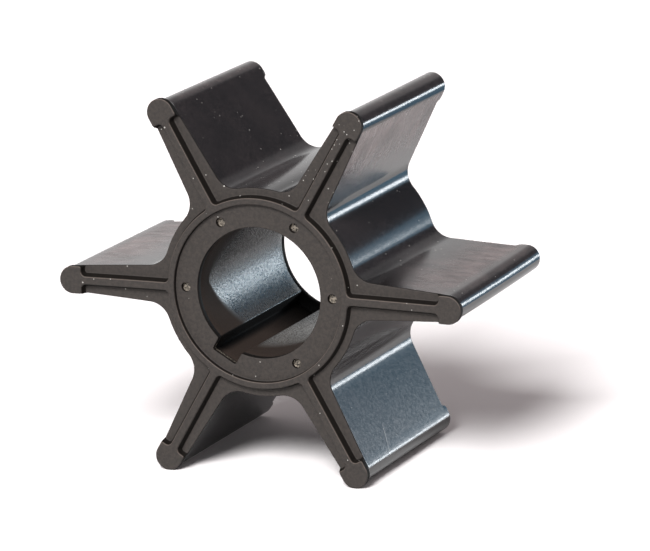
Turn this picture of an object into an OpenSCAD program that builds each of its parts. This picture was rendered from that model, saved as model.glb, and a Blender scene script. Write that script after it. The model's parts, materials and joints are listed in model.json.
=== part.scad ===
/* [Impeller] */
// Diameter over the caps at the blade tips
tip_d = 66; // [60:0.5:76]
// Length along the bore, over the raised faces
length = 33.8; // [20:0.2:50]
// Number of blades
blades = 6; // [4:1:7]

/* [Hub] */
// Diameter of the rubber hub between the blades
hub_d = 32.2; // [31:0.1:36]
// Thickness of the rubber skin over each end of the bush
skin = 1.1; // [0.6:0.1:2]
// Depth of the sunk band round the bore, below the raised faces
band_depth = 0.7; // [0.3:0.1:1]

/* [Blades] */
// Thickness of a blade where it leaves the hub
root_t = 6; // [5:0.1:7]
// Thickness of a blade at its round tip
tip_t = 4.15; // [3:0.05:4.2]
// Diameter of the round cap on the front end of each tip
cap_d = 4.3; // [4.25:0.05:6]
// How far the caps stand out past the tips behind them
cap_proud = 0.4; // [0.2:0.05:0.8]
// Radius of the fillet between a blade and the hub
root_fillet = 3.5; // [2:0.1:3.8]

/* [Moulded faces] */
// Depth of the panels on both sides of each rib
panel_depth = 1.1; // [0.8:0.1:2]
// Width of a rib on top
rib_w = 1.2; // [0.8:0.1:2]
// Inner diameter of the raised ring
ring_id = 27.5; // [27.2:0.1:28.5]
// Width of the raised ring on top
ring_w = 0.95; // [0.6:0.05:1.2]
// How far the ring's outer wall leans out at its foot
ring_lean = 0.25; // [0.1:0.05:0.4]
// How far each side of a rib leans out at its foot
rib_lean = 0.35; // [0.1:0.05:0.5]
// Radius of the corners where a rib meets the ring and the cap
corner_fillet = 0.8; // [0.4:0.1:1]
// Length of a blade's raised end, from the cap's centre to the panels
cap_len = 1.4; // [0.8:0.1:3]

/* [Bush] */
// Diameter of the bore
bore_d = 20.2; // [16:0.1:21]
// Outer diameter of the bush
bush_d = 27; // [26.4:0.1:27.2]
// Chamfer round both ends of the bush
bush_chamfer = 0.4; // [0.2:0.1:0.8]
// Width of the keyway
key_w = 4.3; // [3:0.1:6]
// Distance from the bore's axis to the keyway's floor
key_floor = 11.95; // [11:0.05:12.4]
// Blade under which the keyway lies, counted from the one on the right
key_blade = 4; // [0:1:6]

/* [Pin holes] */
// Diameter of the holes that the mould's pins leave in the skin
pin_d = 1.45; // [1:0.05:2]
// Diameter of the circle on which they lie
pin_circle_d = 24.1; // [23:0.1:25]

/* [Hidden] */
$fn = 128;

// Depth to which one solid beds in the next
bed = 0.4;
// How far the caps reach down past the panels
lap = 0.15;
// How far a fillet cuts past the faces that it joins, so that their edges cross
bite = 0.006;

tip_r = tip_d / 2;
hub_r = hub_d / 2;
round_r = tip_t / 2;
cap_r = cap_d / 2;
bore_r = bore_d / 2;
bush_r = bush_d / 2;
pitch = 360 / blades;

// Heights above the middle of the length
top_z = length / 2;
panel_z = top_z - panel_depth;
band_z = top_z - band_depth;
bush_z = band_z - skin;

// Places along a blade: centres of its cap and round tip, edge of the panels, and where it starts
cap_x = tip_r - cap_r;
round_x = tip_r - cap_proud - round_r;
panel_x = cap_x - cap_len;
blade_x = (bush_r + hub_r) / 2;

// A blade's flank is the line y = flank_y - taper * x
taper = (root_t / 2 - round_r) / (round_x - hub_r);
flank_y = round_r + taper * round_x;

ring_in = ring_id / 2;
ring_out = ring_in + ring_w;
rib_half = rib_w / 2;
rib_x = (ring_in + ring_out) / 2;

function flank(x) = flank_y - taper * x;

// Centre of a fillet of radius r between the circle of radius c and the line y = y0 - s * x
function fillet_centre(c, y0, s, r) =
    let (k = y0 + (r - bite) * sqrt(1 + s * s), reach = c + r - bite)
    let (x = (k * s + sqrt((1 + s * s) * reach * reach - k * k)) / (1 + s * s))
    [x, k - s * x];

// Where that circle and that line cross
function corner(c, y0, s) =
    let (x = (y0 * s + sqrt((1 + s * s) * c * c - y0 * y0)) / (1 + s * s))
    [x, y0 - s * x];

// The section of a fillet, bedded in both of the solids that it joins
module fillet_section(c, y0, s, r) {
    centre = fillet_centre(c, y0, s, r);
    inside = corner(c, y0, s);
    normal = [s, 1] / sqrt(1 + s * s);
    difference() {
        polygon([
            centre,
            centre * (c - bed) / norm(centre),
            inside - [bed, bed],
            centre - normal * (r + bed)
        ]);
        translate(centre) circle(r);
    }
}

module each_blade() {
    for (i = [0 : blades - 1]) rotate(i * pitch) children();
}

module both_sides() {
    for (side = [0, 1]) mirror([0, side, 0]) children();
}

module both_ends() {
    for (end = [0, 1]) mirror([0, 0, end]) children();
}

// Tapered blade with its round tip and two root fillets, seen along the bore
module blade_section() {
    polygon([
        [blade_x, -flank(blade_x)],
        [round_x, -flank(round_x)],
        [round_x, flank(round_x)],
        [blade_x, flank(blade_x)]
    ]);
    translate([round_x, 0]) circle(round_r + bite);
    both_sides() fillet_section(hub_r, flank_y, taper, root_fillet);
}

// Hub and blades, from the rear face to the level of the front panels
module core() {
    translate([0, 0, -top_z]) linear_extrude(top_z + panel_z) {
        circle(hub_r);
        each_blade() blade_section();
    }
}

// Raised ring round the bore, and the sunk band inside it
module ring() {
    rotate_extrude() polygon([
        [0, panel_z - bed],
        [ring_out + ring_lean, panel_z - bed],
        [ring_out + ring_lean, panel_z],
        [ring_out, top_z],
        [ring_in, top_z],
        [ring_in, band_z],
        [0, band_z]
    ]);
}

// Cap on the front end of a blade's tip, as high as the ribs, that ends the panels
module cap() {
    translate([0, 0, panel_z - lap]) linear_extrude(panel_depth + lap) {
        translate([cap_x, 0]) circle(cap_r);
        translate([panel_x, -cap_r]) square([cap_len, cap_d]);
    }
}

// Rounded corner where a rib's side meets the straight edge of the cap
module cap_corner() {
    side = corner_fillet - bite;
    difference() {
        translate([panel_x - side, rib_half - bed]) square([side + bed, side + bed]);
        translate([panel_x - side, rib_half + side]) circle(corner_fillet);
    }
}

// Rib from the ring to the cap, with leaning sides and rounded corners
module rib() {
    translate([rib_x, 0, 0]) rotate([90, 0, 90]) linear_extrude(panel_x + bed - rib_x) polygon([
        [-rib_half - rib_lean, panel_z - bed],
        [rib_half + rib_lean, panel_z - bed],
        [rib_half + rib_lean, panel_z],
        [rib_half, top_z],
        [-rib_half, top_z],
        [-rib_half - rib_lean, panel_z]
    ]);
    translate([0, 0, panel_z - bed]) linear_extrude(panel_depth + bed) both_sides() {
        fillet_section(ring_out, rib_half, 0, corner_fillet);
        cap_corner();
    }
}

module ring_and_ribs() {
    ring();
    each_blade() rib();
}

// Space over the rear panels, which leaves the tips as high as the ribs and round as they are
module rear_space() {
    mirror([0, 0, 1]) difference() {
        translate([0, 0, panel_z]) cylinder(h = panel_depth + bed, r = tip_r + bed);
        ring_and_ribs();
        each_blade() translate([panel_x, -cap_d, panel_z - bed])
            cube([tip_r + 2 * bed - panel_x, 2 * cap_d, panel_depth + 3 * bed]);
    }
}

// Upper half of the bush's outer profile, from its middle to the bore
function bush_profile() = [
    [bush_r, bush_z - bush_chamfer],
    [bush_r - bush_chamfer, bush_z],
    [bore_r, bush_z]
];

function below(points) = [for (i = [len(points) - 1 : -1 : 0]) [points[i][0], -points[i][1]]];

// Room for the bush inside the rubber, with the bore through both skins
module bush_pocket() {
    half = concat(bush_profile(), [[bore_r, top_z + bed], [0, top_z + bed]]);
    rotate_extrude() polygon(concat(half, below(half)));
}

// Slot of the keyway, seen along the bore
module key_section() {
    rotate(key_blade * pitch) translate([0, -key_w / 2]) square([key_floor, key_w]);
}

// Holes over the bush at every blade but the one that has the keyway
module pin_holes() {
    for (i = [0 : blades - 1]) if (i != key_blade) rotate(i * pitch)
        translate([pin_circle_d / 2, 0, bush_z - bed]) cylinder(h = skin + 2 * bed, d = pin_d);
}

module rubber_body() {
    color("#3b3735") rotate([90, 0, 0]) difference() {
        union() {
            core();
            ring_and_ribs();
            each_blade() cap();
        }
        rear_space();
        bush_pocket();
        translate([0, 0, bush_z - bed]) linear_extrude(skin + 2 * bed) key_section();
        both_ends() pin_holes();
    }
}

module hub_insert() {
    color("#5f615e") rotate([90, 0, 0]) difference() {
        rotate_extrude() polygon(concat(bush_profile(), below(bush_profile())));
        linear_extrude(2 * bush_z + 2 * bed, center = true) key_section();
    }
}

rubber_body();
hub_insert();
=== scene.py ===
"""Looks of a moulded rubber pump impeller: the rubber body, the keyed bush in its hub, and a plain stage."""
import json
import math

import bmesh
import bpy
from bpy.props import FloatProperty, FloatVectorProperty, IntProperty, PointerProperty
from mathutils import Matrix, Vector, noise


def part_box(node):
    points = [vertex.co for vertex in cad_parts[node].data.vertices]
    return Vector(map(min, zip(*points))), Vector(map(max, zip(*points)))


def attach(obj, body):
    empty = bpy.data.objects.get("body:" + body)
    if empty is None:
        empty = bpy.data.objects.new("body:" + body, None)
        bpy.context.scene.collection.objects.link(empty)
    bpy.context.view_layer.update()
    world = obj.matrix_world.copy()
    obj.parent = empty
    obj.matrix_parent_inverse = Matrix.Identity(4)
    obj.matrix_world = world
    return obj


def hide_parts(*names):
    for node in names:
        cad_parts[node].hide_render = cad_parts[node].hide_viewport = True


bl_info = {
    "name": "Rubber pump impeller",
    "version": (1, 0, 0),
    "blender": (4, 5, 0),
    "location": "3D View > Sidebar > Impeller",
    "description": "Moulds a rubber pump impeller with its keyed bush, and sets a plain stage round it",
    "category": "Object",
}

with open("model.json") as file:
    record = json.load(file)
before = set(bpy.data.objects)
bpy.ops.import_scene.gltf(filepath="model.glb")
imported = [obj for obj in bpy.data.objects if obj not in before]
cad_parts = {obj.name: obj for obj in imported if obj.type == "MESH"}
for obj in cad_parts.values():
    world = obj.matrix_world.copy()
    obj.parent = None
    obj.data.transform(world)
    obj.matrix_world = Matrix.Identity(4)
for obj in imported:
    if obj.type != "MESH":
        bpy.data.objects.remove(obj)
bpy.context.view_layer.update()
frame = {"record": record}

MM = 0.001
BODY_LOW, BODY_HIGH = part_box("rubber_body")
BUSH_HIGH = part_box("hub_insert")[1]
BORE = next(m for m in frame["record"]["mounts"] if m["name"] == "bore")

# Steps along each stretch of an outline, a wall or a rounding
RING_STEPS = 14
CORNER_STEPS = 8
RIB_STEPS = 16
EDGE_STEPS = 3
WALL_STEPS = 3
ROUNDING_STEPS = 3
SMALL_STEPS = 2
TURN_STEPS = 5
ROUND_STEPS = 16
HUB_STEPS = 8
ROOT_STEPS = 14
FLANK_STEPS = 18
SIDE_STEPS = 14
PIN_STEPS = 12
BORE_STEPS = 16
KEY_STEPS = 6
BUSH_STEPS = 8

# Rounding of the cap's corner over the flank, and the flat strip kept beside each rounded edge
CAP_CORNER = 0.3 * MM
FLAT = 0.06 * MM
# Depth past the panels at which a cap's wall has run into the tip below it
SEAM = 0.2 * MM
# Where the sides' own points start, in seams past the panels
SIDES_START = 2.5
# Rounding of the small edges round the pin holes, round the bore and the keyway, and at the bush's ends
PIN_EDGE = 0.08 * MM
KEY_EDGE = 0.1 * MM
BUSH_LIP = 0.02 * MM
# Rounding of the keyway's corners, seen along the bore
KEY_CORNER = 0.3 * MM
# Depth at which packed dust fills the pin holes, and the hollow round its rim
PIN_DUST = 0.6 * MM
PIN_HOLLOW = 0.12 * MM
# How far the ring's inner wall leans
RING_DRAFT = 0.05 * MM
# Where the ledge under a cap turns, above the panels and as a share of the way to the tip under it
LEDGE_RISE = 0.12 * MM
LEDGE_SHARE = 0.3
# Seed of the unevenness, without which it differs from run to run, its waves to the metre, and how far from
# the hub it is full
SWAY_SEED = 7
SWAY_PER_METRE = 90
SWAY_START = 5 * MM
# How far the tips lie off true at the front and at the rear, counter-clockwise from the right one, and the
# power by which that grows along a blade
STRAY = ((-0.1 * MM, 0.5 * MM), (0.0, 0.15 * MM), (-0.15 * MM, 0.1 * MM), (0.25 * MM, 0.25 * MM))
STRAY_GROWTH = 1.5
# Where the scratch on the lower right blade starts, from the bore's axis and along it
SCRATCH_START = 26.2 * MM
SCRATCH_PLACE = -5.2 * MM
# Points closer than this are one
MERGE = 1e-7
# The bore's axis in a plan
CENTRE = Vector((0, 0))

# Width of the camera's sensor in millimetres, and half the width of the floor in metres
SENSOR_WIDTH = 36
FLOOR_HALF = 3.0
WHITE = (1.0, 1.0, 1.0)
# Where the main light comes from, and the place, size and colour of the lamp behind on the right
KEY_FROM = (0.07, -1.23, 1.0)
EDGE_PLACE = (0.30, 0.60, 0.0)
EDGE_WIDTH = 0.12
EDGE_HEIGHT = 0.045
EDGE_COLOUR = (0.93, 0.97, 1.0)
# Where the backdrop's card, which only gloss shows, ends on its right side and at its top
LEFT_CARD = (0.05, 0.25)
LOW_CARD = (0.20, 0.55)
# The card: its turn to the right of straight behind, its distance, half its width, and its top
CARD_TURN = math.radians(24)
CARD_AWAY = 160 * MM
CARD_HALF = 60 * MM
CARD_TOP = 30 * MM


def length_value(name, description, default):
    """A length that a user may change, in metres."""
    return FloatProperty(name=name, description=description, default=default, min=0.0, unit="LENGTH",
                         precision=5)


def colour_value(name, description, default):
    """A linear colour that a user may change."""
    return FloatVectorProperty(name=name, description=description, default=default, size=3, min=0.0, max=1.0,
                               subtype="COLOR")


def number_value(name, description, default, low=0.0, high=1.0):
    """A plain number that a user may change."""
    return FloatProperty(name=name, description=description, default=default, min=low, max=high)


def angle_value(name, description, degrees):
    """An angle that a user may change, in radians, from its value in degrees."""
    return FloatProperty(name=name, description=description, default=math.radians(degrees), subtype="ANGLE")


class ImpellerSizes(bpy.types.PropertyGroup):
    """Sizes of the moulded body and its bush"""
    blades: IntProperty(name="Blades", description="Number of blades", default=6, min=4, max=7)
    key_blade: IntProperty(name="Keyway blade", description="Blade over the keyway, from the right one",
                           default=4)
    tip_r: length_value("Tip radius", "Radius over the caps", BODY_HIGH.x)
    length: length_value("Length", "Length over the raised faces", BODY_HIGH.y - BODY_LOW.y)
    hub_r: length_value("Hub radius", "Radius of the rubber hub", 16.1 * MM)
    root_t: length_value("Root thickness", "Thickness of a blade at the hub", 6.0 * MM)
    tip_t: length_value("Tip thickness", "Thickness of a blade at its round tip", 4.15 * MM)
    cap_r: length_value("Cap radius", "Radius of the caps on the tips", 2.15 * MM)
    cap_proud: length_value("Cap ledge", "How far a cap stands out past the tip", 0.4 * MM)
    root_fillet: length_value("Root fillet", "Radius between a blade and the hub", 3.5 * MM)
    panel_depth: length_value("Panel depth", "Depth of the panels beside the ribs", 1.1 * MM)
    rib_half: length_value("Rib half width", "Half the width of a rib on top", 0.6 * MM)
    rib_lean: length_value("Rib lean", "How far a rib's side leans out at its foot", 0.35 * MM)
    ring_in: length_value("Ring inner radius", "Inner radius of the raised ring", 13.75 * MM)
    ring_out: length_value("Ring outer radius", "Outer radius of the raised ring", 14.7 * MM)
    ring_lean: length_value("Ring lean", "How far the ring's wall leans out at its foot", 0.25 * MM)
    corner_r: length_value("Corner radius", "Radius where a rib meets the ring and the cap", 0.8 * MM)
    cap_len: length_value("Cap block", "From a cap's centre to the panels", 1.4 * MM)
    band_depth: length_value("Band depth", "Depth of the sunk band round the bore", 0.7 * MM)
    edge_r: length_value("Edge rounding", "Rounding of the rubber's outer edges", 0.14 * MM)
    foot_r: length_value("Foot rounding", "Rounding where walls meet the panels", 0.15 * MM)
    bore_r: length_value("Bore radius", "Radius of the bore", BORE["dims"]["r_mm"] * MM)
    bush_r: length_value("Bush radius", "Outer radius of the bush", BUSH_HIGH.x)
    bush_half: length_value("Bush half length", "Half the length of the bush", BUSH_HIGH.y)
    bush_edge: length_value("Bush chamfer", "Chamfer round the bush's ends", 0.4 * MM)
    key_half: length_value("Keyway half width", "Half the width of the keyway", 2.15 * MM)
    key_floor: length_value("Keyway floor", "From the bore's axis to the keyway's floor", 11.95 * MM)
    pin_r: length_value("Pin hole radius", "Radius of the holes left by the mould's pins", 0.725 * MM)
    pin_place: length_value("Pin hole place", "From the bore's axis to a pin hole", 12.05 * MM)
    sway: length_value("Unevenness", "How far the moulded sides stray from true", 0.004 * MM)


class RubberLook(bpy.types.PropertyGroup):
    """Colours and finish of the rubber"""
    face: colour_value("Face", "Rubber of the end faces", (0.0225, 0.0172, 0.0142))
    flank: colour_value("Flank", "Rubber of the sides", (0.016, 0.014, 0.0145))
    # The dust colour also gives the painted sheen of the dust film and of the light dust on upward faces
    dust: colour_value("Dust", "Dust and specks on the rubber", (0.54, 0.41, 0.40))
    speck: colour_value("Specks", "Small specks and scratches", (0.60, 0.58, 0.54))
    packed: colour_value("Packed dust", "Dust at the bottom of the pin holes", (0.24, 0.205, 0.165))
    face_rough: number_value("Face roughness", "Roughness of the matte end faces", 0.72)
    flank_rough: number_value("Flank roughness", "Roughness of the glossy sides", 0.15)


class BushLook(bpy.types.PropertyGroup):
    """Colours and finish of the bush"""
    plastic: colour_value("Plastic", "Dark filled plastic of the bush", (0.019, 0.015, 0.0145))
    # The fleck colour also paints a patch of light on the bore's low wall
    fleck: colour_value("Fleck", "Pale fibre flecks in the plastic", (0.30, 0.27, 0.24))
    # The brown is also painted shade where it reaches further in on the low wall right of the keyway
    brown: colour_value("Brown", "Brown film in the keyway and the bore's front end", (0.030, 0.021, 0.017))
    brown_reach: length_value("Film length", "How far that film reaches down the bore", 2.9 * MM)
    gloss: colour_value("Gloss", "Tint of what the bore's wall reflects", (0.88, 0.97, 1.0))
    rough: number_value("Roughness", "Roughness of the bore's wall", 0.26)


class StageSettings(bpy.types.PropertyGroup):
    """Camera, lamps, floor and backdrop"""
    azimuth: angle_value("Azimuth", "Camera's turn to the right of the front", 24.057)
    elevation: angle_value("Elevation", "Camera's height over the bore's axis, as an angle", 13.430)
    distance: length_value("Distance", "From the camera to the middle of the impeller", 746.005 * MM)
    pan: angle_value("Pan", "Camera's turn off the middle, sideways", -0.270)
    tilt: angle_value("Tilt", "Camera's turn off the middle, up", -0.078)
    roll: angle_value("Roll", "Camera's turn round its own axis", -1.222)
    lens: number_value("Lens", "Focal length for a sensor 36 mm wide", 269.68, 10, 1000)
    floor: colour_value("Floor", "Colour of the floor", (0.80, 0.80, 0.80))
    floor_seen: colour_value("Floor as seen", "Colour of the floor before the camera", (1.0, 0.965, 0.965))
    room: colour_value("Room", "What gloss shows of the room", (0.05, 0.06, 0.075))
    sky_tint: colour_value("Sky tint", "Colour of the even light", (1.0, 0.92, 0.93))
    sky: number_value("Sky", "Level of the even light from all round", 0.30, 0, 3)
    key: number_value("Key light", "Strength of the main light, from the front and above", 4.95, 0, 20)
    key_angle: angle_value("Key softness", "Width of the main light, as an angle", 23.0)
    card: colour_value("Card", "Card behind on the right, seen in the gloss", (0.30, 0.57, 0.80))
    edge: number_value("Edge lamp", "Power of the low lamp behind on the right, in watts", 0.95, 0, 50)


# Plans are drawn in a blade's own plane: x runs along the blade, y across it, and z is the depth below the
# raised face

def direction(degrees):
    """Unit vector in a blade's plan, from its centre line."""
    return Vector((math.cos(math.radians(degrees)), math.sin(math.radians(degrees))))


def angle_of(point):
    """Angle of a plan point, in degrees."""
    return math.degrees(math.atan2(point[1], point[0]))


def spread(low, high, count):
    """Values from low to high in count equal steps, both ends included."""
    return [low + (high - low) * i / count for i in range(count + 1)]


def arc(centre, radius, start, end, count, outward=True):
    """Plan points on an arc, each with the direction that leaves the material."""
    sign = 1 if outward else -1
    return [(centre + radius * direction(a), sign * direction(a)) for a in spread(start, end, count)]


def line(start, end, normal, count):
    """Plan points along a line, each with the direction that leaves the material."""
    return [(start.lerp(end, t), normal) for t in spread(0, 1, count)]


def at(point, depth):
    """A plan point at a depth below the raised face."""
    return Vector((point[0], point[1], depth))


def quads(columns):
    """Faces between neighbouring columns of points."""
    faces = []
    for left, right in zip(columns, columns[1:]):
        for i in range(len(left) - 1):
            faces.append([left[i], left[i + 1], right[i + 1], right[i]])
    return faces


def rounded_edge(radius, steps):
    """Steps over a convex edge: how far inside the outline, and how deep."""
    turn = [(radius * (1 - math.sin(a)), radius * (1 - math.cos(a))) for a in spread(0, math.pi / 2, steps)]
    return [(radius + FLAT, 0.0)] + turn


def rounded_foot(radius, depth, lean):
    """Steps down a leaning wall and round its foot: how far outside the outline, and how deep."""
    turn = []
    for angle in spread(0, math.pi / 2, ROUNDING_STEPS):
        turn.append((lean + radius * (1 - math.cos(angle)), depth - radius * (1 - math.sin(angle))))
    return turn + [(lean + radius + FLAT, depth)]


def over_edge(point, normal, radius, top=0.0, steps=ROUNDING_STEPS):
    """Points over a rounded edge, out to a point of its outline."""
    return [at(point - normal * d, top + h) for d, h in rounded_edge(radius, steps)]


class BladePlan:
    """Plan of half a blade, from its centre line to midway to the next one, with a cap on its tip or none."""

    def __init__(self, s, capped):
        self.s = s
        self.half_pitch = 180 / s.blades
        self.round_r = s.tip_t / 2
        self.round_centre = Vector((s.tip_r - s.cap_proud - self.round_r, 0))
        self.end_edge = s.tip_r - s.cap_r - s.cap_len
        self.taper = (s.root_t / 2 - self.round_r) / (self.round_centre.x - s.hub_r)
        self.flank_zero = self.round_r + self.taper * self.round_centre.x
        self.flank_normal = Vector((self.taper, 1)).normalized()
        self.end_r = s.cap_r if capped else self.round_r
        self.end_centre = Vector((s.tip_r - s.cap_r, 0)) if capped else self.round_centre
        self.end_normal = Vector((0, 1)) if capped else self.flank_normal
        inside = self.end_edge + CAP_CORNER
        reach = self.end_normal.dot(self.end_centre) + self.end_r - CAP_CORNER
        self.corner = Vector((inside, (reach - self.end_normal.x * inside) / self.end_normal.y))

    def flank(self, x):
        """Point on the flank at a distance along the blade."""
        return Vector((x, self.flank_zero - self.taper * x))

    def ring_to_cap(self):
        """Outline of the raised face from midway round the ring, along the rib, to the cap's inner edge."""
        s = self.s
        mid = s.rib_half + s.corner_r
        ring_fillet = Vector((math.sqrt((s.ring_out + s.corner_r) ** 2 - mid ** 2), mid))
        turn = angle_of(ring_fillet)
        cap_fillet = Vector((self.end_edge - s.corner_r, mid))
        rib_start = Vector((ring_fillet.x, s.rib_half))
        rib_end = Vector((cap_fillet.x, s.rib_half))
        edge_start = Vector((self.end_edge, mid))
        edge_end = Vector((self.end_edge, self.corner.y))
        outline = arc(CENTRE, s.ring_out, self.half_pitch, turn, RING_STEPS)
        outline += arc(ring_fillet, s.corner_r, 180 + turn, 270, CORNER_STEPS, False)[1:]
        outline += line(rib_start, rib_end, Vector((0, 1)), RIB_STEPS)[1:]
        outline += arc(cap_fillet, s.corner_r, 270, 360, CORNER_STEPS, False)[1:]
        return outline + line(edge_start, edge_end, Vector((-1, 0)), EDGE_STEPS)[1:]

    def leans(self):
        """How far the wall leans out at each point of that outline."""
        s = self.s
        into_rib = [s.ring_lean + (s.rib_lean - s.ring_lean) * t for t in spread(0, 1, CORNER_STEPS)]
        leans = [s.ring_lean] * RING_STEPS + into_rib + [s.rib_lean] * (RIB_STEPS - 1)
        return leans + into_rib[::-1] + [s.ring_lean] * EDGE_STEPS

    def cap_turn(self):
        """The rounded corner of the blade's raised end over the flank."""
        return arc(self.corner, CAP_CORNER, 180, angle_of(self.end_normal), TURN_STEPS)

    def cap_round(self):
        """Side and round end of the blade's raised end, to the centre line."""
        start = self.corner + CAP_CORNER * self.end_normal
        last = self.end_centre + self.end_r * self.end_normal
        side = line(start, last, self.end_normal, EDGE_STEPS)
        return side + arc(self.end_centre, self.end_r, angle_of(self.end_normal), 0, ROUND_STEPS)[1:]

    def tip_round(self, start_x):
        """The smaller round tip under the cap, with a point for each point of the cap's round."""
        turn = angle_of(self.flank_normal)
        last = self.round_centre + self.round_r * self.flank_normal
        side = line(self.flank(start_x), last, self.flank_normal, EDGE_STEPS)
        return side + arc(self.round_centre, self.round_r, turn, 0, ROUND_STEPS)[1:]

    def hub_to_cap(self, x_end):
        """Outline of the core from midway round the hub, through the root fillet and along the flank."""
        s = self.s
        slope = math.sqrt(1 + self.taper ** 2)
        k = self.flank_zero + s.root_fillet * slope
        reach = s.hub_r + s.root_fillet
        x = (k * self.taper + math.sqrt((slope * reach) ** 2 - k * k)) / slope ** 2
        centre = Vector((x, k - self.taper * x))
        turn = angle_of(centre)
        foot = centre - s.root_fillet * self.flank_normal
        flank_turn = angle_of(self.flank_normal)
        outline = arc(CENTRE, s.hub_r, self.half_pitch, turn, HUB_STEPS)
        outline += arc(centre, s.root_fillet, 180 + turn, 180 + flank_turn, ROOT_STEPS, False)[1:]
        return outline + line(foot, self.flank(x_end), self.flank_normal, FLANK_STEPS)[1:]


def rim_column(plan, point, normal):
    """Points over a panel's outer edge, down to the seam."""
    depth = plan.s.panel_depth
    return over_edge(point, normal, plan.s.edge_r, depth) + [at(point, depth + SEAM)]


def walls_to_panels(plan):
    """Columns from the raised face down to the panels, from midway round the ring to the cap's inner edge."""
    s = plan.s
    columns = []
    for (point, normal), lean in zip(plan.ring_to_cap(), plan.leans()):
        column = over_edge(point, normal, s.edge_r)
        column += [at(point + normal * d, h) for d, h in rounded_foot(s.foot_r, s.panel_depth, lean)]
        columns.append(column)
    return columns


def walls_over_turn(plan, rim):
    """Columns down the cap's corner: their lower ends step over the panel's rim to the flank."""
    s = plan.s
    foot = rounded_foot(s.foot_r, s.panel_depth, s.ring_lean)
    reach = foot[-1][0]
    columns = []
    for j, (point, normal) in enumerate(plan.cap_turn()[1:], 1):
        end = rim[j]
        share = j / TURN_STEPS
        column = over_edge(point, normal, s.edge_r)
        for k, (d, h) in enumerate(foot[:-1], 1):
            straight = s.edge_r + (end.z - s.edge_r) * k / len(foot)
            column.append(at(point.lerp(end.xy, d / reach), h + (straight - h) * share))
        columns.append(column + [end])
    return columns


def walls_to_tip(plan, start_x):
    """Columns down the cap's side and round end, over its ledge and onto the tip."""
    s = plan.s
    wall = spread(s.edge_r, s.panel_depth - LEDGE_RISE, WALL_STEPS)[1:]
    columns = []
    for (point, normal), (core, _) in zip(plan.cap_round()[1:], plan.tip_round(start_x)[1:]):
        column = over_edge(point, normal, s.edge_r)
        column += [at(point, h) for h in wall]
        column += [at(point.lerp(core, LEDGE_SHARE), s.panel_depth), at(core, s.panel_depth + SEAM)]
        columns.append(column)
    return columns


def ring_walls(plan):
    """Columns over the ring's inner edge and down to the sunk band, from midway to the centre line."""
    s = plan.s
    columns = []
    for point, normal in arc(CENTRE, s.ring_in, plan.half_pitch, 0, RING_STEPS, False):
        column = over_edge(point, normal, s.edge_r)
        column += [at(point + normal * d, h) for d, h in rounded_foot(s.foot_r, s.band_depth, RING_DRAFT)]
        columns.append(column)
    return columns


def hole_columns(outline, edge, top, bottom):
    """Columns over the edge of a hole and straight down its wall."""
    columns = []
    for point, normal in outline:
        column = over_edge(point, normal, edge, top, SMALL_STEPS)
        columns.append(column + [at(point, (top + bottom) / 2), at(point, bottom)])
    return columns


def bore_outline(s, half_pitch):
    """The bore from midway to the centre line."""
    return arc(CENTRE, s.bore_r, half_pitch, 0, BORE_STEPS, False)


def key_outline(s, half_pitch):
    """The bore from midway to the keyway, and on round the keyway to the centre line."""
    corner_y = s.key_half + KEY_CORNER
    lip = Vector((math.sqrt((s.bore_r + KEY_CORNER) ** 2 - corner_y ** 2), corner_y))
    turn = angle_of(lip)
    inner = Vector((s.key_floor - KEY_CORNER, s.key_half - KEY_CORNER))
    down = Vector((0, -1))
    outline = arc(CENTRE, s.bore_r, half_pitch, turn, BORE_STEPS, False)
    outline += arc(lip, KEY_CORNER, 180 + turn, 270, KEY_STEPS)[1:]
    outline += line(Vector((lip.x, s.key_half)), Vector((inner.x, s.key_half)), down, KEY_STEPS)[1:]
    outline += arc(inner, KEY_CORNER, 90, 0, KEY_STEPS, False)[1:]
    floor = line(Vector((s.key_floor, inner.y)), Vector((s.key_floor, 0)), Vector((-1, 0)), KEY_STEPS)
    return outline + floor[1:]


def pin_outline(s):
    """Half of a pin hole, from its outer side to its inner side."""
    return arc(Vector((s.pin_place, 0)), s.pin_r, 0, 180, PIN_STEPS, False)


def pin_columns(s):
    """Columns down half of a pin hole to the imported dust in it, and in towards its middle."""
    bottom = s.band_depth + PIN_DUST
    columns = hole_columns(pin_outline(s), PIN_EDGE, s.band_depth, bottom)
    for column, (point, normal) in zip(columns, pin_outline(s)):
        column.append(at(point + normal * PIN_HOLLOW, bottom + PIN_EDGE))
        column.append(at(point + normal * 2 * PIN_HOLLOW, bottom))
    return columns


def skin_faces(plan, kind, ring):
    """Faces of the skin over the bush's end in half a blade. Its kind is "pin", "key" or "plain"."""
    s = plan.s
    top = s.band_depth
    bottom = s.length / 2 - s.bush_half
    shoulder = s.bush_r - s.bush_edge
    outline = key_outline(s, plan.half_pitch) if kind == "key" else bore_outline(s, plan.half_pitch)
    bore = hole_columns(outline, KEY_EDGE, top, bottom)
    pin = pin_columns(s) if kind == "pin" else []
    outer = [column[-1] for column in ring]
    pocket = [at(p, bottom) for p, _ in arc(CENTRE, shoulder, plan.half_pitch, 0, RING_STEPS)]
    faces = quads(bore) + quads(pin)
    faces.append(outer + [column[0] for column in pin] + [column[0] for column in reversed(bore)])
    faces.append(pocket + [column[-1] for column in reversed(bore)])
    if pin:
        faces.append([column[-1] for column in pin])
    return faces


def pocket_faces(plan):
    """The rubber's inner wall round the bush, in half a blade, to the middle of the length."""
    s = plan.s
    end = s.length / 2 - s.bush_half
    columns = []
    for a in spread(plan.half_pitch, 0, RING_STEPS):
        profile = [(s.bush_r - s.bush_edge, end), (s.bush_r, end + s.bush_edge), (s.bush_r, s.length / 2)]
        columns.append([at(r * direction(a), h) for r, h in profile])
    return quads(columns)


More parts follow.
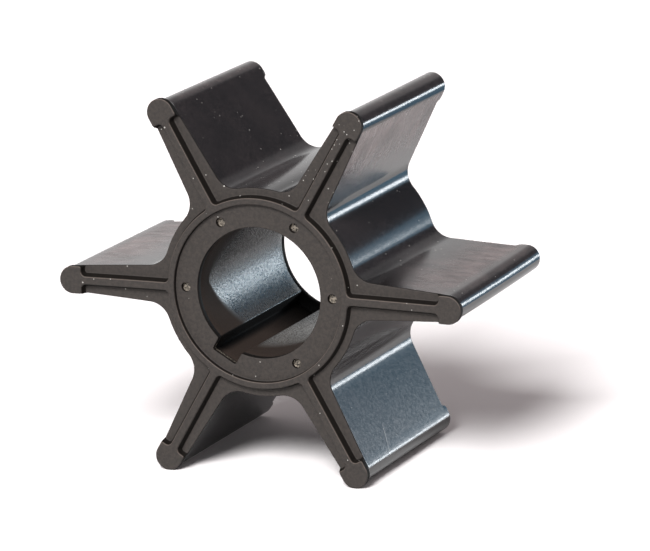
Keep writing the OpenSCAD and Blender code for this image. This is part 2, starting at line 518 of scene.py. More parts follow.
def moulded_half(plan, kind):
    """All faces of half a blade at one end, down to the middle of the length."""
    s = plan.s
    panel_walls = walls_to_panels(plan)
    rim_end = panel_walls[-1][-1].x
    outline = plan.hub_to_cap(rim_end)
    rim = [rim_column(plan, point, normal) for point, normal in outline]
    panel_walls[-1][-1] = rim[-1][0]
    tip_walls = walls_to_tip(plan, rim_end)
    walls = panel_walls + walls_over_turn(plan, rim[-1]) + tip_walls
    ring = ring_walls(plan)
    depths = [s.panel_depth + SEAM] + spread(s.panel_depth + SIDES_START * SEAM, s.length / 2, SIDE_STEPS)
    edge = [column[-1] for column in rim + tip_walls]
    sides = [[at(top, depth) for depth in depths] for top in edge]
    faces = quads(walls) + quads(rim) + quads(sides) + quads(ring)
    faces.append([column[0] for column in walls] + [column[0] for column in reversed(ring)])
    faces.append([column[0] for column in rim] + [column[-1] for column in reversed(panel_walls)])
    return faces + skin_faces(plan, kind, ring) + pocket_faces(plan)


def placed(faces, s, blade, end, side):
    """Faces of half a blade, set at its place in the shared frame."""
    turn = Matrix.Rotation(-2 * math.pi * blade / s.blades, 3, "Y")
    return [[turn @ Vector((p.x, end * (s.length / 2 - p.z), side * p.y)) for p in face] for face in faces]


def body_faces(s):
    """Faces of the whole moulding, in the shared frame: capped in front, and plain at the rear."""
    faces = []
    for end, over_key in ((-1, "key"), (1, "plain")):
        plan = BladePlan(s, end < 0)
        halves = (moulded_half(plan, "pin"), moulded_half(plan, over_key))
        for blade in range(s.blades):
            for side in (-1, 1):
                faces += placed(halves[blade == s.key_blade], s, blade, end, side)
    return faces


def bush_half_faces(s, keyed):
    """Faces of the bush over half a blade, from its end to the middle of the length."""
    half_pitch = 180 / s.blades
    end = s.length / 2 - s.bush_half
    outline = key_outline(s, half_pitch) if keyed else bore_outline(s, half_pitch)
    outer = [direction(a) for a in spread(half_pitch, 0, len(outline) - 1)]
    columns = []
    for out, (point, normal) in zip(outer, outline):
        column = [at(s.bush_r * out, s.length / 2), at(s.bush_r * out, end + s.bush_edge)]
        column.append(at((s.bush_r - s.bush_edge) * out, end))
        column += over_edge(point, normal, BUSH_LIP, end, SMALL_STEPS)
        column += [at(point, h) for h in spread(end + BUSH_LIP, s.length / 2, BUSH_STEPS)[1:]]
        columns.append(column)
    return quads(columns)


def bush_faces(s):
    """Faces of the whole bush, in the shared frame."""
    faces = []
    for blade in range(s.blades):
        half = bush_half_faces(s, blade == s.key_blade)
        for end in (-1, 1):
            for side in (-1, 1):
                faces += placed(half, s, blade, end, side)
    return faces


def mesh_from_faces(name, faces):
    """A smooth closed mesh from loose faces, joined where they share points."""
    mesh = bpy.data.meshes.new(name)
    build = bmesh.new()
    for face in faces:
        build.faces.new([build.verts.new(p) for p in face])
    bmesh.ops.remove_doubles(build, verts=build.verts, dist=MERGE)
    bmesh.ops.recalc_face_normals(build, faces=build.faces)
    for face in build.faces:
        face.smooth = True
    build.to_mesh(mesh)
    build.free()
    return mesh


def eased(value, low, high):
    """A smooth step from 0 at the low value to 1 at the high one."""
    t = min(max((value - low) / (high - low), 0.0), 1.0)
    return t * t * (3 - 2 * t)


def stray_from_true(mesh, s):
    """Moves the blades a little off true, as cured rubber is, with every end face kept flat."""
    noise.seed_set(SWAY_SEED)
    for vertex in mesh.vertices:
        co = vertex.co
        reach = math.hypot(co.x, co.z)
        loose = eased(reach, s.hub_r, s.hub_r + SWAY_START)
        wave = noise.noise_vector(co * SWAY_PER_METRE) * s.sway * loose
        turn = math.atan2(co.z, co.x)
        blade = round(turn * s.blades / (2 * math.pi)) % s.blades
        front, rear = STRAY[blade] if blade < len(STRAY) else (0.0, 0.0)
        bend = max(reach - s.hub_r, 0.0) / (s.tip_r - s.hub_r)
        stray = bend ** STRAY_GROWTH * (front + (rear - front) * (0.5 + co.y / s.length) ** 2)
        vertex.co.x += wave.x - stray * math.sin(turn)
        vertex.co.z += wave.z + stray * math.cos(turn)
    mesh.update()


def add_object(name, data):
    """A new object in the scene."""
    thing = bpy.data.objects.new(name, data)
    bpy.context.scene.collection.objects.link(thing)
    return thing


def add_piece(mesh, node):
    """Puts a mesh into the scene in place of its node."""
    piece = add_object(mesh.name, mesh)
    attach(piece, "root")
    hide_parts(node)


# A mix node's kind, and the places of its two values and of its result among its sockets
COLOUR_MIX = ("RGBA", 6, 7, 2)
NUMBER_MIX = ("FLOAT", 2, 3, 0)


class Nodes:
    """Adds nodes to a material or a world, and joins them."""

    def __init__(self, owner):
        self.owner = owner
        owner.use_nodes = True
        self.tree = owner.node_tree
        self.tree.nodes.clear()

    def add(self, kind, inputs=None, **settings):
        """A node with its settings, and its inputs set or joined."""
        node = self.tree.nodes.new(kind)
        for name, value in settings.items():
            setattr(node, name, value)
        for name, value in (inputs or {}).items():
            if isinstance(value, bpy.types.NodeSocket):
                self.tree.links.new(value, node.inputs[name])
            else:
                node.inputs[name].default_value = value
        return node

    def split(self, vector):
        """The x, y and z of a vector."""
        parts = self.add("ShaderNodeSeparateXYZ", {"Vector": vector})
        return [parts.outputs[axis] for axis in "XYZ"]

    def math(self, operation, *values):
        """The result of one sum on numbers or sockets."""
        return self.add("ShaderNodeMath", dict(enumerate(values)), operation=operation).outputs[0]

    def chain(self, operation, values):
        """The result of a sum that is carried over any count of numbers or sockets."""
        result = values[0]
        for value in values[1:]:
            result = self.math(operation, result, value)
        return result

    def product(self, *values):
        """Numbers or sockets multiplied together."""
        return self.chain("MULTIPLY", values)

    def total(self, *values):
        """Numbers or sockets added up."""
        return self.chain("ADD", values)

    def largest(self, *values):
        """The largest of some numbers or sockets."""
        return self.chain("MAXIMUM", values)

    def less(self, value, taken):
        """A number or socket with another one taken from it."""
        return self.math("SUBTRACT", value, taken)

    def ramp(self, value, low, high, bottom=0.0, top=1.0):
        """A value carried smoothly from one range into another."""
        inputs = {"Value": value, "From Min": low, "From Max": high, "To Min": bottom, "To Max": top}
        node = self.add("ShaderNodeMapRange", inputs, interpolation_type="SMOOTHSTEP")
        return node.outputs["Result"]

    def fade(self, value, low, high):
        """A mask that is 1 up to the low mark, and gone from the high one on."""
        return self.ramp(value, low, high, 1.0, 0.0)

    def noise(self, place, scale, detail, rough):
        """Cloudy noise with so many waves to the metre."""
        inputs = {"Vector": place, "Scale": scale, "Detail": detail, "Roughness": rough}
        return self.add("ShaderNodeTexNoise", inputs).outputs["Fac"]

    def blend(self, sockets, share, first, second):
        """What lies at a share of the way from one value to another."""
        kind, start, end, result = sockets
        node = self.add("ShaderNodeMix", {0: share, start: first, end: second}, data_type=kind)
        return node.outputs[result]

    def mix(self, share, first, second):
        """A colour between two colours."""
        return self.blend(COLOUR_MIX, share, first, second)

    def between(self, share, first, second):
        """A number between two numbers."""
        return self.blend(NUMBER_MIX, share, first, second)

    def specks(self, place, scale, share, radius):
        """Small round specks in a share of the cells."""
        cells = self.add("ShaderNodeTexVoronoi", {"Vector": place, "Scale": scale})
        red = self.add("ShaderNodeSeparateColor", {"Color": cells.outputs["Color"]}).outputs["Red"]
        dot = self.fade(cells.outputs["Distance"], radius * SPECK_CORE, radius)
        return self.product(self.math("LESS_THAN", red, share), dot)

    def bump(self, height, strength, depth):
        """A fine relief from a noise."""
        inputs = {"Height": height, "Strength": strength, "Distance": depth}
        return self.add("ShaderNodeBump", inputs).outputs["Normal"]

    def finish(self, kind, inputs):
        """The material, once its shader is joined to its output."""
        shader = self.add(kind, inputs)
        self.add("ShaderNodeOutputMaterial", {"Surface": shader.outputs[0]})
        return self.owner


def opaque(colour, level=1.0):
    """A colour at a share of its level, with its alpha."""
    return (*(c * level for c in colour), 1.0)


def reach_of(n, x, z):
    """Distance from the bore's axis."""
    return n.math("SQRT", n.total(n.product(x, x), n.product(z, z)))


def marks(start, pair):
    """Two marks, counted from a start."""
    return [start + mark for mark in pair]


# Masks on the rubber. A pair says where a mask sets in and is full, or where it starts to fade and is gone.
# By how far a face looks along the bore, up or down
FLAT_FACE = (0.5, 0.8)
WALL_FACE = (0.55, 0.97)
# Where the painted highlight lies on the edges, by how far they look along the bore and up
HIGHLIGHT_FACE = (0.80, 0.99)
HIGHLIGHT_UP = (0.0, 0.35)
UPWARD = (0.0, 0.5)
LEVEL_UP = (0.6, 0.95)
POLISHED_UP = (-0.2, 0.0)
LEANING_DOWN = (-0.45, -0.28)
INWARD_DOWN = (-0.4, -0.2)
UNDERSIDE = (-0.95, -0.75)
TURN_START = (-0.02, 0.12)
TURN_END = (-0.48, -0.30)
# By places to the right of the bore's axis, above it, and behind the middle of its length
RIGHT_BLADES = (2 * MM, 8 * MM)
RIGHT_HALF = (0.0, 4 * MM)
LEFT_HALF = (-2 * MM, 2 * MM)
FILM_SHEEN_SIDES = (-20 * MM, 0.0)
UPPER_BLADES = (10 * MM, 18 * MM)
NEAR_FLOOR = (-24 * MM, -14 * MM)
REAR_PART = (-12 * MM, 2 * MM)
# By distances from the hub
FILM_SHEEN_RISE = (2 * MM, 11 * MM)
ROOT_EDGE = (2 * MM, 4 * MM)
ROOT_SHADE = (5 * MM, 11 * MM)
# By how far past the panels, the bush's end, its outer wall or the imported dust, and how far inside the ring
MATTE_END = (0.12 * MM, 0.28 * MM)
SIGHT_END = (0.02 * MM, 0.1 * MM)
POCKET_WALL = (0.0, 0.2 * MM)
DUST_TOP = (0.02 * MM, 0.1 * MM)
SKIN_END = (-0.2 * MM, 0.0)
# Where a mask starts or is full, as shares of an edge's rounding, a pin hole's radius and half the length
HIGHLIGHT_FULL = 0.3
PACKED_FULL = 0.8
FRONT_END = 0.4
# The same on the tips, as shares of their thickness
TIP_FILM_SHEEN = 0.5
TIP_POLISH = 0.7
TIP_UNDER = 1.6

# Shares of the dust film, partly dust and partly painted sheen, at a blade's root, round its tip and at its
# front edge, on level sides at the left and the right, and on leaning ones
FILM_SHEEN_ROOT = 0.15
FILM_SHEEN_TIP = 0.35
FILM_SHEEN_FRONT = 0.5
FILM_SHEEN_LEVEL = (0.42, 0.33)
FILM_SHEEN_LEANING = 0.46
# How fast the painted shade in the corner at a blade's front root ends towards the rear
ROOT_SLANT = 0.45
# Shares of the gloss that are missing inside the lower blades, on undersides and under the upper right tip
DULL_INSIDE = 0.50
DULL_UNDER = 0.28
DULL_TURN = 0.6
# Slant, length of the start and half the width of the scratch, and what marks the lower right blade's end
SCRATCH_SLANT = 0.42
SCRATCH_RUN = 1.5 * MM
SCRATCH_HALF = (0.02 * MM, 0.11 * MM)
LOWER_RIGHT = (34 * MM, 35 * MM)
# Stretching of the streaks away from the hub, and how much they differ between the sides of a blade
STREAK_STRETCH = 0.22
STREAK_SHIFT = 0.01


class RubberZones:
    """Masks from 0 to 1: where the rubber is matte, dusty with painted sheen, dull, polished, scratched or
    hidden, with painted shade on its walls and at a front root, and a painted highlight on its upward edges.
    """

    def __init__(self, n, s, place):
        self.n = n
        self.s = s
        self.x, self.y, self.z = n.split(place)
        _, back, self.up = n.split(n.add("ShaderNodeNewGeometry").outputs["Normal"])
        self.flat = n.math("ABSOLUTE", back)
        self.along = n.math("ABSOLUTE", self.y)
        self.reach = reach_of(n, self.x, self.z)
        self.top = s.length / 2
        self.upward = n.ramp(self.up, *UPWARD)
        self.level = n.ramp(self.up, *LEVEL_UP)
        self.right = n.ramp(self.x, *RIGHT_HALF)
        self.upper_right = n.product(n.ramp(self.x, *RIGHT_BLADES), n.ramp(self.z, *UPPER_BLADES))
        self.upper_left = n.product(n.fade(self.x, *LEFT_HALF), n.ramp(self.z, *UPPER_BLADES))
        self.matte = self.end_faces()
        # The walls under the raised faces, which the material darkens as painted shade
        self.wall = n.product(n.fade(self.flat, *WALL_FACE),
                              n.fade(self.along, self.top - 2 * s.edge_r, self.top - s.edge_r))
        # Painted highlight: the rounded edges that face up, lighter where the light catches them
        self.picked_out = n.product(n.fade(self.flat, *HIGHLIGHT_FACE), n.ramp(self.up, *HIGHLIGHT_UP),
                              n.ramp(self.along, self.top - s.edge_r, self.top - HIGHLIGHT_FULL * s.edge_r))
        self.hidden = n.product(n.fade(self.reach, *marks(s.bush_r, POCKET_WALL)),
                                n.fade(self.along, *marks(s.bush_half, SIGHT_END)))
        self.packed = self.packed_dust()
        self.painted_root_shade = self.front_root_shade()
        self.film, self.dust_and_sheen_place = self.dust_and_sheen_overlay()
        self.dull = self.dull_places()
        self.polished = self.polished_edges()
        self.scratch = self.scratch_line()
        stretched = n.product(self.reach, STREAK_STRETCH)
        shifted = n.product(self.up, STREAK_SHIFT)
        drawn = {"X": stretched, "Y": self.y, "Z": shifted}
        self.streaks = n.add("ShaderNodeCombineXYZ", drawn).outputs["Vector"]

    def end_faces(self):
        """The moulded faces at both ends, down to just past their panels, and the skins round the bore."""
        n, s = self.n, self.s
        past, gone = marks(s.panel_depth - self.top, MATTE_END)
        block = s.tip_r - s.cap_r - s.cap_len
        inner = n.fade(self.reach, block - s.cap_r, block)
        rear = n.product(n.ramp(self.y, -gone, -past), n.largest(inner, n.ramp(self.flat, *FLAT_FACE)))
        skins = n.fade(self.reach, *marks(s.ring_in, SKIN_END))
        return n.largest(n.fade(self.y, past, gone), rear, skins)

    def packed_dust(self):
        """The dust at the bottom of the pin holes."""
        n, s = self.n, self.s
        past_inner = n.ramp(self.reach, s.pin_place - s.pin_r, s.pin_place - PACKED_FULL * s.pin_r)
        before_outer = n.fade(self.reach, s.pin_place + PACKED_FULL * s.pin_r, s.pin_place + s.pin_r)
        level = self.top - s.band_depth - PIN_DUST
        return n.product(past_inner, before_outer, n.fade(self.along, *marks(level, DUST_TOP)))

    def front_root_shade(self):
        """Painted shade in the corner at the front of the right blade's root, where the dust, its painted
        sheen and the gloss are taken away.
        """
        n = self.n
        slanting = n.total(self.reach, n.product(n.total(self.y, self.top), ROOT_SLANT))
        return n.product(self.level, self.right, n.fade(slanting, *marks(self.s.hub_r, ROOT_SHADE)))

    def dust_and_sheen_overlay(self):
        """Thickness of the dust film on the level sides and the upper right blade, and where it lies. The
        film is partly dust and partly painted sheen, standing in for what these sides reflect.
        """
        n, s = self.n, self.s
        rise = n.ramp(self.reach, *marks(s.hub_r, FILM_SHEEN_RISE), FILM_SHEEN_ROOT, 1.0)
        tip = n.ramp(self.reach, s.tip_r - s.tip_t, s.tip_r - TIP_FILM_SHEEN * s.tip_t, 1.0, FILM_SHEEN_TIP)
        front = n.ramp(self.y, -self.top, -FRONT_END * self.top, FILM_SHEEN_FRONT, 1.0)
        level = n.product(self.level, rise, tip, front)
        leaning = n.product(self.upper_right, n.fade(self.up, *LEANING_DOWN), rise)
        sides = n.ramp(self.x, *FILM_SHEEN_SIDES, *FILM_SHEEN_LEVEL)
        film = n.largest(n.product(level, sides), n.product(leaning, FILM_SHEEN_LEANING))
        return film, n.largest(level, leaning)

    def dull_places(self):
        """The share of the gloss that is missing, as inside the lower blades and on undersides."""
        n, s = self.n, self.s
        low_rear = n.product(n.fade(self.z, *NEAR_FLOOR), n.ramp(self.y, *REAR_PART))
        inside = n.product(low_rear, n.fade(self.up, *INWARD_DOWN))
        turning = n.product(n.fade(self.up, *TURN_START), n.ramp(self.up, *TURN_END))
        tip = n.ramp(self.reach, s.tip_r - TIP_UNDER * s.tip_t, s.tip_r - s.tip_t)
        under_tip = n.product(turning, tip, self.upper_right)
        return n.largest(n.product(inside, DULL_INSIDE), n.ramp(self.up, *UNDERSIDE, DULL_UNDER, 0.0),
                         self.painted_root_shade, n.product(under_tip, DULL_TURN))

    def polished_edges(self):
        """The root fillets and the round tips on the right half."""
        n, s = self.n, self.s
        edges = n.largest(n.fade(self.reach, *marks(s.hub_r, ROOT_EDGE)),
                          n.ramp(self.reach, s.tip_r - s.tip_t, s.tip_r - TIP_POLISH * s.tip_t))
        return n.product(self.right, edges, n.ramp(self.up, *POLISHED_UP))

    def scratch_line(self):
        """The thin scratch near the lower right tip."""
        n = self.n
        drift = n.product(n.less(self.reach, SCRATCH_START), SCRATCH_SLANT)
        aside = n.total(drift, n.less(self.y, SCRATCH_PLACE))
        on_blade = n.product(n.ramp(n.less(self.x, self.z), *LOWER_RIGHT), self.upward)
        begun = n.ramp(self.reach, SCRATCH_START, SCRATCH_START + SCRATCH_RUN)
        return n.product(begun, on_blade, n.fade(n.math("ABSOLUTE", aside), *SCRATCH_HALF))


# Waves to the metre, detail and roughness of the noises
RUBBER_CLOUD = (210, 4.0, 0.65)
RUBBER_MOTTLE = (1900, 3.0, 0.7)
RUBBER_GRAIN = (5200, 2.0, 0.7)
FILM_SHEEN_STREAK = (520, 3.0, 0.5)
FILM_SHEEN_SMEAR = (1400, 3.0, 0.7)
DUST_CRUMBS = (4200, 2.0, 0.7)
BUSH_PITS = (2600, 3.0, 0.75)
BUSH_CLOUD = (260, 2.0, 0.5)
# The middle part of a noise, from where it counts as low to where it counts as high
MIDDLE = (0.3, 0.7)
FILM_SHEEN_MIDDLE = (0.30, 0.68)
FACE_MIDDLE = (0.32, 0.68)
CRUMB_MIDDLE = (0.40, 0.62)
PIT_MIDDLE = (0.38, 0.62)
BOTH_MIDDLE = (0.7, 1.3)
# Cells to the metre, their share with a speck where they are few and many, and its radius; then how much of
# that radius is solid, and how much the specks and the scratch cover
FINE_CELLS = 2500
FINE_SHARE = (0.012, 0.14)
FINE_RADIUS = 0.28
COARSE_CELLS = 1100
COARSE_SHARE = (0.006, 0.05)
COARSE_RADIUS = 0.17
SPECK_CORE = 0.6
SPECK_COVER = 0.55
SCRATCH_COVER = 0.45
BUSH_FLECKS = (1500, 0.14, 0.22)
FLECK_COVER = 0.35
# Least and full cover of the film in its clouds and streaks, and of the light dust in its grains and clouds;
# both are partly dust and partly painted sheen
FILM_SHEEN_CLOUDS = (0.50, 1.0)
FILM_SHEEN_STREAKS = (0.60, 1.0)
DUST_SHEEN_GRAINS = (0.008, 0.028)
DUST_SHEEN_CLOUDS = (0.6, 1.5)
# Levels of a colour, as shares of it, in the face's mottling, as painted shade on the walls under it, as a
# painted highlight on its edges that face up, where it is nearly black and in the plastic's clouds, and how
# much the walls' painted shade covers
FACE_LEVELS = (0.72, 1.30)
WALL_SHADE_LEVEL = 0.2
WALL_SHADE_COVER = 0.85
HIGHLIGHT_LEVEL = 4.2
BLACK_LEVEL = 0.1
PLASTIC_LEVEL = 0.75
# Unevenness of the sides' roughness and of the bore's, and what the film adds to that of the sides
FLANK_UNEVEN = (-0.02, 0.03)
BORE_UNEVEN = (-0.14, 0.12)
FILM_SHEEN_ROUGH = (0.08, 0.20)
# Gloss of the sides, the end faces and sunk places, and the shares that the film leaves and polish adds
FLANK_GLOSS = (0.40, 0.54)
FACE_GLOSS = 0.5
SUNK_GLOSS = 0.12
FILM_SHEEN_GLOSS = (0.62, 0.38)
POLISH = 0.4
# How strongly the rubber and the plastic bend light
RUBBER_IOR = 1.5
PLASTIC_IOR = 1.55
# Strength and depth of the relief of the end faces and the bore
FACE_RELIEF = 0.42
FACE_GRAIN = 0.07 * MM
BORE_RELIEF = 0.85
BORE_PITS = 0.08 * MM


def rubber_material(s, look):
    """Black rubber: glossy on the moulded sides, matte and fine-grained on the end faces."""
    n = Nodes(bpy.data.materials.new("moulded_rubber"))
    place = n.add("ShaderNodeTexCoord").outputs["Object"]
    zone = RubberZones(n, s, place)
    cloud = n.noise(place, *RUBBER_CLOUD)
    mottle = n.noise(place, *RUBBER_MOTTLE)
    grain = n.noise(place, *RUBBER_GRAIN)
    streak = n.noise(zone.streaks, *FILM_SHEEN_STREAK)
    face = n.mix(n.ramp(mottle, *FACE_MIDDLE), *(opaque(look.face, level) for level in FACE_LEVELS))
    # Painted shade on the walls under the faces, then a painted highlight on the edges that face up
    face = n.mix(n.product(zone.wall, WALL_SHADE_COVER), face, opaque(look.face, WALL_SHADE_LEVEL))
    face = n.mix(zone.picked_out, face, opaque(look.face, HIGHLIGHT_LEVEL))
    # The dust film and the light dust on upward faces: partly dust and partly painted sheen for what these
    # sides reflect, both taken away in the painted shade at a front root
    film = n.product(n.ramp(cloud, *FILM_SHEEN_MIDDLE, *FILM_SHEEN_CLOUDS), n.ramp(streak, *FILM_SHEEN_MIDDLE, *FILM_SHEEN_STREAKS))
    film = n.product(film, zone.film)
    grains = n.ramp(mottle, *MIDDLE, *DUST_SHEEN_GRAINS)
    dust = n.product(grains, n.ramp(cloud, *MIDDLE, *DUST_SHEEN_CLOUDS), zone.upward)
    dust_and_sheen = n.product(n.largest(film, dust), n.less(1.0, zone.painted_root_shade))
    base = n.mix(zone.matte, n.mix(dust_and_sheen, opaque(look.flank), opaque(look.dust)), face)
    fine_share = n.ramp(n.product(zone.upper_right, zone.matte), 0.0, 1.0, *FINE_SHARE)
    fine = n.specks(place, FINE_CELLS, fine_share, FINE_RADIUS)
    coarse = n.specks(place, COARSE_CELLS, n.ramp(zone.upper_left, 0.0, 1.0, *COARSE_SHARE), COARSE_RADIUS)
    base = n.mix(n.product(n.largest(fine, coarse), SPECK_COVER), base, opaque(look.speck))
    base = n.mix(n.product(zone.scratch, SCRATCH_COVER), base, opaque(look.speck))
    crumbs = n.ramp(n.noise(place, *DUST_CRUMBS), *CRUMB_MIDDLE)
    base = n.mix(zone.packed, base, n.mix(crumbs, opaque(look.packed, BLACK_LEVEL), opaque(look.packed)))
    base = n.mix(zone.hidden, base, opaque(look.flank, BLACK_LEVEL))
    flank_rough = n.ramp(mottle, *MIDDLE, *marks(look.flank_rough, FLANK_UNEVEN))
    smear = n.ramp(n.noise(zone.streaks, *FILM_SHEEN_SMEAR), *MIDDLE, *FILM_SHEEN_ROUGH)
    rough = n.between(zone.matte, n.total(flank_rough, n.product(zone.dust_and_sheen_place, smear)), look.face_rough)
    gloss = n.product(n.ramp(n.total(mottle, grain), *BOTH_MIDDLE, *FLANK_GLOSS),
                      n.between(zone.dust_and_sheen_place, 1.0, n.ramp(streak, *MIDDLE, *FILM_SHEEN_GLOSS)),
                      n.less(n.total(1.0, n.product(zone.polished, POLISH)), zone.dull))
    sunk = n.largest(n.product(zone.wall, zone.matte), zone.hidden)
    return n.finish("ShaderNodeBsdfPrincipled", {
        "Base Color": base,
        "Roughness": rough,
        "IOR": RUBBER_IOR,
        "Specular IOR Level": n.between(sunk, n.between(zone.matte, gloss, FACE_GLOSS), SUNK_GLOSS),
        "Normal": n.bump(grain, n.between(zone.matte, 0.0, FACE_RELIEF), FACE_GRAIN),
    })


# The brown band in the bore: where it changes, how far it reaches in there, and how softly it ends. Its
# longer reach on the low wall right of the keyway is painted shade from the front skin
LOW_WALL = (-6 * MM, -3 * MM)
LEFT_WALL = (-4 * MM, -2.5 * MM)
LEFT_REACH = 0.6
PAST_LEFT = 3 * MM
PAST_REACH = 0.8
HIGH_WALL = 1 * MM
LOW_FADE = 0.35
HIGH_FADE = 1.6
LEAST_FADE = 0.5 * MM
# Where painted light makes a pale patch on the bore's low wall, and where its gloss gives way, higher up
LIT_PATCH_WALL = (-4 * MM, -2 * MM)
LIT_PATCH_SHARE = (0.16, 0.28)
GLOSS_END = (-2 * MM, 3 * MM)
# Where the keyway starts past the bore, the level of its brown, and how dark its rear end and one corner are
SLOT_START = (0.01 * MM, 0.07 * MM)
SLOT_LEVEL = 1.1
REAR_DARK = 0.8
CORNER_DARK = 0.9
# Where its rear end starts to darken, and where that corner fades and is gone, as shares of half the bush's
# length and half the keyway's width
REAR_START = -0.2
CORNER_START = -0.7
CORNER_END = -0.1
# Roughness of the brown film
BROWN_ROUGH = 0.8


def brown_band_and_shade(n, s, look, x, y, z):
    """Brown at the bore's front end, which reaches further in on its low walls; right of the keyway that
    longer reach is painted shade from the front skin.
    """
    low = n.largest(n.product(z, -1.0), 0.0)
    past = n.largest(n.total(x, PAST_LEFT), 0.0)
    left = n.product(low, n.ramp(x, *LEFT_WALL, LEFT_REACH, 0.0))
    reached = n.total(left, n.product(past, n.fade(z, *LOW_WALL), PAST_REACH), look.brown_reach - s.bush_half)
    high = n.largest(n.less(z, HIGH_WALL), 0.0)
    width = n.total(n.product(low, LOW_FADE), n.product(high, HIGH_FADE), LEAST_FADE)
    return n.fade(n.math("DIVIDE", n.less(y, reached), width), 0.0, 1.0)


def keyway_shade(n, s, slot, x, y, z):
    """How dark the keyway is: more towards its rear end, and in the corner that faces away from the light."""
    turn = 2 * math.pi * s.key_blade / s.blades
    across = n.less(n.product(z, math.cos(turn)), n.product(x, math.sin(turn)))
    rear = n.ramp(y, REAR_START * s.bush_half, s.bush_half)
    corner = n.fade(across, CORNER_START * s.key_half, CORNER_END * s.key_half)
    return n.largest(n.product(slot, rear, REAR_DARK), n.product(slot, corner, CORNER_DARK))


def bush_material(s, look):
    """Dark filled plastic, finely pitted, with pale fibre flecks, a painted patch of light low in the bore,
    brown in front with painted shade past it, and dark in its keyway.
    """
    n = Nodes(bpy.data.materials.new("filled_plastic"))
    place = n.add("ShaderNodeTexCoord").outputs["Object"]
    x, y, z = n.split(place)
    pits = n.noise(place, *BUSH_PITS)
    cloud = n.noise(place, *BUSH_CLOUD)
    base = n.mix(n.ramp(cloud, *MIDDLE), opaque(look.plastic, PLASTIC_LEVEL), opaque(look.plastic))
    base = n.mix(n.product(n.specks(place, *BUSH_FLECKS), FLECK_COVER), base, opaque(look.fleck))
    # Painted light: a pale patch on the low wall right of the keyway, where light falls in
    pale = n.product(n.fade(z, *LOW_WALL), n.ramp(x, *LIT_PATCH_WALL), n.ramp(cloud, *MIDDLE, *LIT_PATCH_SHARE))
    base = n.mix(pale, base, opaque(look.fleck))
    film = brown_band_and_shade(n, s, look, x, y, z)
    base = n.mix(film, base, opaque(look.brown))
    slot = n.ramp(reach_of(n, x, z), *marks(s.bore_r, SLOT_START))
    base = n.mix(slot, base, opaque(look.brown, SLOT_LEVEL))
    base = n.mix(keyway_shade(n, s, slot, x, y, z), base, opaque(look.brown, BLACK_LEVEL))
    picked_out = n.largest(film, slot)
    rough = n.ramp(pits, *PIT_MIDDLE, *marks(look.rough, BORE_UNEVEN))
    return n.finish("ShaderNodeBsdfPrincipled", {
        "Base Color": base,
        "Roughness": n.between(picked_out, rough, BROWN_ROUGH),
        "IOR": PLASTIC_IOR,
        "Specular IOR Level": n.between(picked_out, n.ramp(z, *GLOSS_END, 1.0, SUNK_GLOSS), SUNK_GLOSS),
        "Specular Tint": opaque(look.gloss),
        "Normal": n.bump(pits, BORE_RELIEF, BORE_PITS),
    })


class IMPELLER_OT_mould_body(bpy.types.Operator):
    """Moulds the rubber body: hub, ribbed and capped blades, ring and skins over the bush"""
    bl_idname = "impeller.mould_body"
    bl_label = "Mould the rubber body"

    def execute(self, context):
        s = context.scene.impeller_sizes
        mesh = mesh_from_faces("moulded_body", body_faces(s))
        stray_from_true(mesh, s)
        mesh.materials.append(rubber_material(s, context.scene.rubber_look))
        add_piece(mesh, "rubber_body")
        return {"FINISHED"}


class IMPELLER_OT_make_bush(bpy.types.Operator):
    """Makes the bush with its bore and keyway"""
    bl_idname = "impeller.make_bush"
    bl_label = "Make the keyed bush"

    def execute(self, context):
        s = context.scene.impeller_sizes
        mesh = mesh_from_faces("keyed_bush", bush_faces(s))
        mesh.materials.append(bush_material(s, context.scene.bush_look))
        add_piece(mesh, "hub_insert")
        return {"FINISHED"}


def add_camera(stage):
    """The camera, aimed at the middle of the impeller and then turned by its pan, tilt and roll."""
    back = Vector((math.sin(stage.azimuth) * math.cos(stage.elevation),
                   -math.cos(stage.azimuth) * math.cos(stage.elevation), math.sin(stage.elevation)))
    right = Vector((math.cos(stage.azimuth), math.sin(stage.azimuth), 0))
    up = back.cross(right)
    aim = Matrix((right, up, back)).transposed()
    aim = aim @ Matrix.Rotation(stage.pan, 3, "Y") @ Matrix.Rotation(stage.tilt, 3, "X")
    aim = aim @ Matrix.Rotation(stage.roll, 3, "Z")
    data = bpy.data.cameras.new("camera")
    data.sensor_width = SENSOR_WIDTH
    data.lens = stage.lens
    camera = add_object("camera", data)
    camera.matrix_world = Matrix.Translation(back * stage.distance) @ aim.to_4x4()
    bpy.context.scene.camera = camera


def add_light(name, kind, place, energy, **settings):
    """A light that shines from a place, or from its direction, towards the impeller."""
    data = bpy.data.lights.new(name, kind)
    data.energy = energy
    for setting, value in settings.items():
        setattr(data, setting, value)
    light = add_object(name, data)
    turn = Vector(place).to_track_quat("Z", "Y").to_matrix()
    light.matrix_world = Matrix.Translation(place) @ turn.to_4x4()


def board(name, corners, material):
    """A flat board of the stage, with four corners."""
    mesh = bpy.data.meshes.new(name)
    mesh.from_pydata(corners, [], [(0, 1, 2, 3)])
    mesh.materials.append(material)
    return add_object(name, mesh)


def add_card(stage):
    """A low card behind on the right, which only the glossy sides show."""
    out = Vector((math.sin(CARD_TURN), math.cos(CARD_TURN), 0)) * CARD_AWAY
    side = Vector((math.cos(CARD_TURN), -math.sin(CARD_TURN), 0)) * CARD_HALF
    low, high = Vector((0, 0, BODY_LOW.z)), Vector((0, 0, CARD_TOP))
    corners = [out - side + low, out + side + low, out + side + high, out - side + high]
    n = Nodes(bpy.data.materials.new("lit_card"))
    glow = n.finish("ShaderNodeEmission", {"Color": opaque(stage.card), "Strength": 1.0})
    card = board("white_card", corners, glow)
    for ray in ("camera", "diffuse", "shadow", "transmission", "volume_scatter"):
        setattr(card, "visible_" + ray, False)


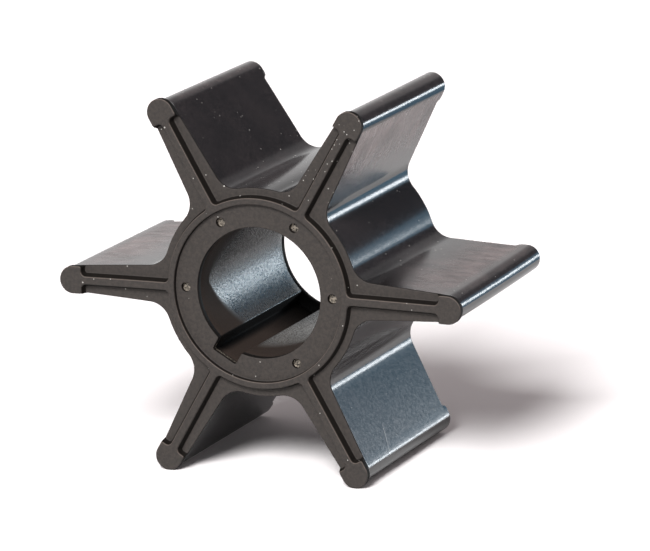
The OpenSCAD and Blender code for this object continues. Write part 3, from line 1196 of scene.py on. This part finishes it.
def set_backdrop(stage):
    """A white backdrop with even light, and what gloss shows: a dim room with a white card at the left."""
    world = bpy.data.worlds.new("backdrop")
    bpy.context.scene.world = world
    n = Nodes(world)
    aside, _, height = n.split(n.add("ShaderNodeTexCoord").outputs["Generated"])
    card = n.product(n.fade(aside, *LEFT_CARD), n.fade(height, *LOW_CARD))
    room = n.mix(card, opaque(stage.room), opaque(WHITE))
    white = n.add("ShaderNodeBackground", {"Color": opaque(WHITE), "Strength": 1.0}).outputs[0]
    shine = n.add("ShaderNodeBackground", {"Color": room, "Strength": 1.0}).outputs[0]
    even = n.add("ShaderNodeBackground", {"Color": opaque(stage.sky_tint), "Strength": stage.sky}).outputs[0]
    path = n.add("ShaderNodeLightPath")
    lit = n.add("ShaderNodeMixShader", {0: path.outputs["Is Glossy Ray"], 1: even, 2: shine}).outputs[0]
    seen = n.add("ShaderNodeMixShader", {0: path.outputs["Is Camera Ray"], 1: lit, 2: white}).outputs[0]
    n.add("ShaderNodeOutputWorld", {"Surface": seen})


def add_floor(stage):
    """A plain pale floor under the two lowest tips."""
    corners = [(x * FLOOR_HALF, y * FLOOR_HALF, BODY_LOW.z) for x, y in ((-1, -1), (1, -1), (1, 1), (-1, 1))]
    n = Nodes(bpy.data.materials.new("pale_floor"))
    seen = n.add("ShaderNodeLightPath").outputs["Is Camera Ray"]
    colour = n.mix(seen, opaque(stage.floor), opaque(stage.floor_seen))
    floor = board("floor", corners, n.finish("ShaderNodeBsdfDiffuse", {"Color": colour}))


class IMPELLER_OT_set_stage(bpy.types.Operator):
    """Sets the camera, the soft lamps, the pale floor and the white backdrop"""
    bl_idname = "impeller.set_stage"
    bl_label = "Set the stage"

    def execute(self, context):
        stage = context.scene.impeller_stage
        add_camera(stage)
        add_light("key_light", "SUN", KEY_FROM, stage.key, angle=stage.key_angle)
        add_light("edge_lamp", "AREA", EDGE_PLACE, stage.edge, shape="RECTANGLE", size=EDGE_WIDTH,
                  size_y=EDGE_HEIGHT, color=EDGE_COLOUR)
        add_card(stage)
        set_backdrop(stage)
        add_floor(stage)
        context.scene.view_settings.view_transform = "Standard"
        return {"FINISHED"}


class IMPELLER_PT_sidebar(bpy.types.Panel):
    """Sizes, looks and steps of the impeller"""
    bl_idname = "IMPELLER_PT_sidebar"
    bl_label = "Rubber pump impeller"
    bl_space_type = "VIEW_3D"
    bl_region_type = "UI"
    bl_category = "Impeller"

    def draw(self, context):
        for settings in GROUPS:
            group = getattr(context.scene, settings)
            box = self.layout.box()
            for name in group.bl_rna.properties.keys():
                if name not in ("rna_type", "name"):
                    box.prop(group, name)
        for operator in OPERATORS:
            self.layout.operator(operator.bl_idname)


GROUPS = {
    "impeller_sizes": ImpellerSizes,
    "rubber_look": RubberLook,
    "bush_look": BushLook,
    "impeller_stage": StageSettings,
}
OPERATORS = (IMPELLER_OT_mould_body, IMPELLER_OT_make_bush, IMPELLER_OT_set_stage)
CLASSES = (*GROUPS.values(), *OPERATORS, IMPELLER_PT_sidebar)


def register():
    """Makes the settings, operators and panel known to Blender."""
    for cls in CLASSES:
        bpy.utils.register_class(cls)
    for name, group in GROUPS.items():
        setattr(bpy.types.Scene, name, PointerProperty(type=group))


def unregister():
    """Takes them out again."""
    for name in GROUPS:
        delattr(bpy.types.Scene, name)
    for cls in reversed(CLASSES):
        bpy.utils.unregister_class(cls)


def main():
    """Makes both pieces and the stage."""
    register()
    bpy.ops.impeller.mould_body()
    bpy.ops.impeller.make_bush()
    bpy.ops.impeller.set_stage()


if __name__ == "__main__":
    main()
